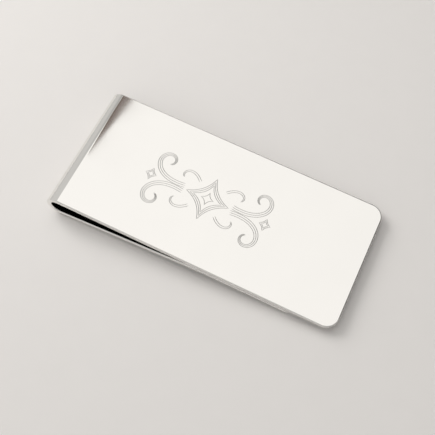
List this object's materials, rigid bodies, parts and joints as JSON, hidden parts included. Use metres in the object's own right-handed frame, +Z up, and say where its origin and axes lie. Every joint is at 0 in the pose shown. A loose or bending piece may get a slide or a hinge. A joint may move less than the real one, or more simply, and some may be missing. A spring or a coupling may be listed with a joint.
{
  "type": "money clip",
  "caption": "Folded-strip money clip: a flat engraved front plate turns back through a hairpin spring fold into a leaf that pinches folded notes against it.",
  "frame": {"origin": "middle of the footprint, on the surface that the clip lies on", "axes": "+X along the clip from the fold to the free end, +Y across the strip, +Z up, out of the front plate's side"},
  "size_m": [0.0564, 0.0254, 0.0054],
  "materials": {
    "polished_strip": "mirror-polished, silver-coloured spring metal with fine handling hairlines"
  },
  "bodies": {
    "leaf": {"back_leaf": "polished_strip", "grip_crest": "polished_strip", "leaf_lip": "polished_strip"},
    "heel": {"lower_fold": "polished_strip"},
    "plate": {"front_plate": "polished_strip", "upper_fold": "polished_strip"}
  },
  "joints": [
    {"name": "heel_flex", "type": "hinge", "parent": "leaf", "child": "heel", "pos_m": [-0.02534, 0, 0], "axis": [0, -1, 0], "range_deg": [0, 4.5], "stiffness_Nm_per_rad": 17.7},
    {"name": "fold_flex", "type": "hinge", "parent": "heel", "child": "plate", "pos_m": [-0.02817, 0, 0.00288], "axis": [0, -1, 0], "range_deg": [0, 3], "stiffness_Nm_per_rad": 26}
  ],
  "couplings": [
    {"joint": "heel_flex", "follows": "fold_flex", "ratio": 1.47}
  ]
}
